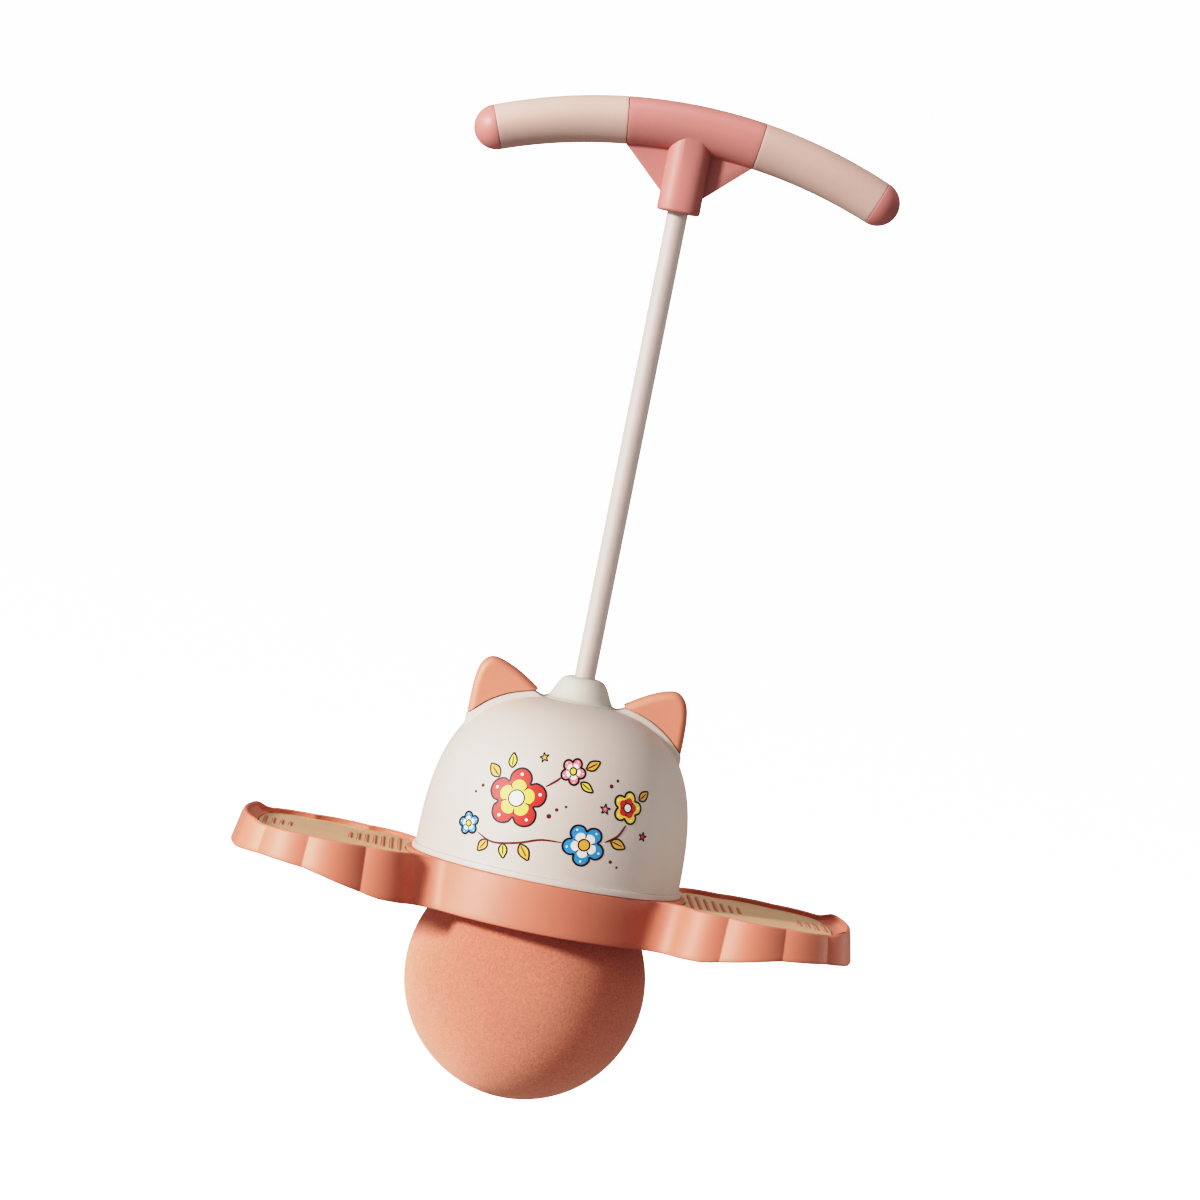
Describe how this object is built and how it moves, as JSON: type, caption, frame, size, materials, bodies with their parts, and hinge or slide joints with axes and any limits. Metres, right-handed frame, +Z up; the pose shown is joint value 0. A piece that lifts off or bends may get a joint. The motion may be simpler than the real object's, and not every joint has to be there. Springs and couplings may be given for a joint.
{
  "type": "pogo ball with pull handle",
  "caption": "Jumping ball clamped in a winged foot platform, with an eared dome, a springy upright rod and a curved two-hand bar to pull up on while bouncing.",
  "frame": {"origin": "on the floor under the centre of the ball, on the axis of the rod", "axes": "+Z up along the rod, X along the two foot wings with +X to the right as seen from the front, -Y to the front"},
  "size_m": [0.4182, 0.191, 0.6682],
  "materials": {
    "handle_pink": "satin",
    "grip_cream": "fine matt grain",
    "plug_white": "satin",
    "rod_white": "satin",
    "spring_steel": "drawn wire",
    "zinc_steel": "zinc plated",
    "grommet_grey": "satin",
    "dome_grey": "satin, printed in colour on the front",
    "ear_salmon": "satin",
    "platform_salmon": "satin",
    "pad_tan": "matt",
    "ball_rubber": "fine sandy matt",
    "valve_rubber": "matt"
  },
  "bodies": {
    "base": {"platform_frame": "platform_salmon", "foot_pad_left": "pad_tan", "foot_pad_right": "pad_tan", "pad_screws": "zinc_steel", "ball_ring": "platform_salmon", "ring_screws": "zinc_steel", "dome_shell": "dome_grey", "ear_left": "ear_salmon", "ear_right": "ear_salmon", "ear_screws": "zinc_steel", "dome_screws": "zinc_steel", "rod_grommet": "grommet_grey", "rod_foot_stud": "zinc_steel", "anchor_washer": "zinc_steel", "anchor_nut": "zinc_steel"},
    "ball": {"ball_bladder": "ball_rubber", "valve_body": "valve_rubber"},
    "valve_plug": {"valve_plug": "plug_white"},
    "rod_core": {"rod_core": "spring_steel"},
    "rod_sleeve": {"pull_rod": "rod_white"},
    "rod_tip": {"rod_top_plug": "plug_white"},
    "handle": {"handle_shell_front": "handle_pink", "handle_shell_rear": "handle_pink", "handle_core_tube": "zinc_steel", "grip_left": "grip_cream", "grip_right": "grip_cream", "end_cap_left": "handle_pink", "end_cap_right": "handle_pink", "handle_screws": "zinc_steel"}
  },
  "joints": [
    {"name": "ball_squash", "type": "slide", "parent": "base", "child": "ball", "axis": [0, 0, 1], "range_m": [0, 0.03], "stiffness_N_per_m": 9000, "deforming": ["ball_bladder"]},
    {"name": "valve_plug_pull", "type": "slide", "parent": "ball", "child": "valve_plug", "axis": [0, 0.7771, -0.6293], "range_m": [0, 0.014]},
    {"name": "rod_bend_fore_aft", "type": "hinge", "parent": "base", "child": "rod_core", "pos_m": [0, 0, 0.345], "axis": [1, 0, 0], "range_deg": [-30, 30], "stiffness_Nm_per_rad": 12, "deforming": ["rod_core", "pull_rod"]},
    {"name": "rod_bend_side", "type": "hinge", "parent": "rod_core", "child": "rod_sleeve", "pos_m": [0, 0, 0.455], "axis": [0, 1, 0], "range_deg": [-30, 30], "stiffness_Nm_per_rad": 12},
    {"name": "handle_pull", "type": "slide", "parent": "rod_sleeve", "child": "rod_tip", "axis": [0, 0, 1], "range_m": [0, 0.05], "stiffness_N_per_m": 1500},
    {"name": "handle_swivel", "type": "hinge", "parent": "rod_tip", "child": "handle", "pos_m": [0, 0, 0.631], "axis": [0, 0, 1], "continuous": true}
  ]
}
